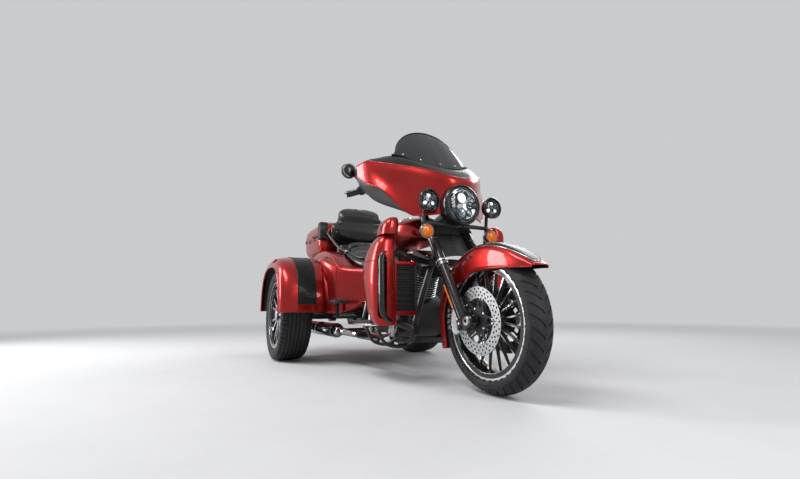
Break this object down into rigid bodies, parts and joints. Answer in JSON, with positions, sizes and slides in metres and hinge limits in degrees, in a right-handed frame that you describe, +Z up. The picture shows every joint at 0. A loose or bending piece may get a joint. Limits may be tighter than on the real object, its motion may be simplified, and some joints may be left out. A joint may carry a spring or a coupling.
{
  "type": "motor trike",
  "caption": "Touring motor trike with a fork-mounted fairing, a two-up seat, a top case and a rear trunk body between arched fenders over car-width rear wheels.",
  "frame": {"origin": "on the ground under the middle of the overall length, on the plane of symmetry", "axes": "+X forward, +Y to the rider's left, +Z up"},
  "size_m": [2.67, 1.39, 1.4103],
  "materials": {
    "red_paint": "metallic candy red clearcoat",
    "tyre": "matte",
    "wheel_black": "gloss black with machined edges",
    "steel": "brushed",
    "gloss_black": "gloss black",
    "caliper": "satin",
    "trim_black": "grained",
    "smoked_screen": "smoked",
    "amber_lens": "clear amber",
    "red_lens": "clear red",
    "satin_black": "satin black",
    "engine_black": "wrinkle black",
    "exhaust_steel": "polished",
    "black_leather": "grained",
    "board_rubber": "ribbed",
    "belt_rubber": "matte"
  },
  "bodies": {
    "chassis": {"frame": "satin_black", "engine_cases": "engine_black", "cylinders": "engine_black", "air_cleaner": "engine_black", "exhaust": "exhaust_steel", "fuel_tank": "red_paint", "seat": "black_leather", "backrest": "black_leather", "lower_fairing_right": "red_paint", "lower_fairing_left": "red_paint", "radiators": "satin_black", "engine_guard": "gloss_black", "footboards": "board_rubber", "passenger_boards": "board_rubber", "trunk_body": "red_paint", "rear_fender_right": "red_paint", "rear_fender_left": "red_paint", "tail_lamps": "red_lens", "pack_rack": "satin_black", "pack_base": "red_paint", "speaker_pods": "gloss_black", "swingarm": "satin_black", "rear_axle": "satin_black", "drive_belt": "belt_rubber"},
    "front_end": {"front_axle": "steel", "fork_sliders": "gloss_black", "fork_tubes": "gloss_black", "fork_clamps": "gloss_black", "front_calipers": "caliper", "front_fender": "red_paint", "fairing_outer": "red_paint", "fairing_inner": "trim_black", "fairing_cap": "gloss_black", "windshield": "smoked_screen", "headlamp": "gloss_black", "passing_lamps": "gloss_black", "turn_signals": "amber_lens", "lamp_bar": "gloss_black", "handlebar": "gloss_black", "hand_controls": "gloss_black", "mirrors": "gloss_black"},
    "front_wheel": {"front_tyre": "tyre", "front_rim": "wheel_black", "front_discs": "steel"},
    "rear_wheel_right": {"rear_tyre_right": "tyre", "rear_rim_right": "wheel_black"},
    "rear_wheel_left": {"rear_tyre_left": "tyre", "rear_rim_left": "wheel_black"},
    "top_case_lid": {"pack_lid": "red_paint"},
    "rear_door": {"trunk_door": "red_paint"}
  },
  "joints": [
    {"name": "steering", "type": "hinge", "parent": "chassis", "child": "front_end", "pos_m": [0.72531, 0, 0.8], "axis": [-0.4384, 0, 0.8988], "range_deg": [-32, 32]},
    {"name": "front_wheel_spin", "type": "hinge", "parent": "front_end", "child": "front_wheel", "pos_m": [1.0155, 0, 0.3195], "axis": [0, 1, 0], "continuous": true},
    {"name": "rear_wheel_right_spin", "type": "hinge", "parent": "chassis", "child": "rear_wheel_right", "pos_m": [-0.6545, -0.55, 0.3255], "axis": [0, 1, 0], "continuous": true},
    {"name": "rear_wheel_left_spin", "type": "hinge", "parent": "chassis", "child": "rear_wheel_left", "pos_m": [-0.6545, 0.55, 0.3255], "axis": [0, 1, 0], "continuous": true},
    {"name": "top_case_lid_hinge", "type": "hinge", "parent": "chassis", "child": "top_case_lid", "pos_m": [-0.947, -0.312, 0.9485], "axis": [1, 0, 0], "range_deg": [0, 80]},
    {"name": "rear_door_hinge", "type": "hinge", "parent": "chassis", "child": "rear_door", "pos_m": [-1.321, 0.394, 0.5715], "axis": [0, 0, -1], "range_deg": [0, 100]}
  ]
}
